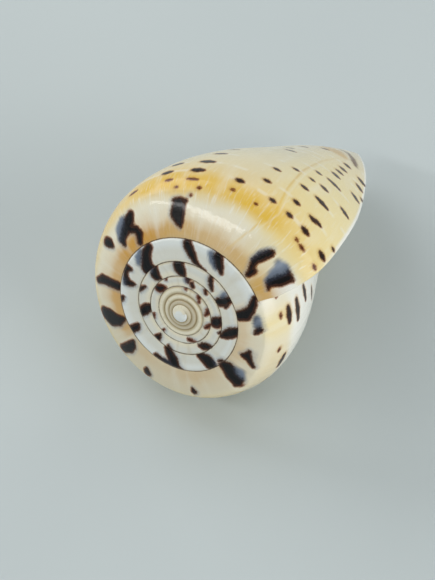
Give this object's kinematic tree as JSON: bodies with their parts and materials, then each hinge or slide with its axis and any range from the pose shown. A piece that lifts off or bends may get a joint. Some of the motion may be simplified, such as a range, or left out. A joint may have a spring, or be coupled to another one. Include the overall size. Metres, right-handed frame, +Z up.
{
  "type": "cone shell",
  "caption": "Coiled sea shell shaped like a cone, lying on its side with its spire raised: glossy cream, spotted dark brown, with a long slit-shaped mouth",
  "frame": {"origin": "Middle of the bounding box, at its lowest point, on the table that the shell lies on.", "axes": "Z is up from the table. The shell lies on the side of its last whorl, with its narrow front end towards +Y and its spire towards -Y, and the long mouth opens towards +X."},
  "size_m": [0.0452, 0.0738, 0.0469],
  "materials": {
    "cream_shell": "gloss"
  },
  "bodies": {
    "root": {"cone_shell": "cream_shell"}
  },
  "joints": []
}
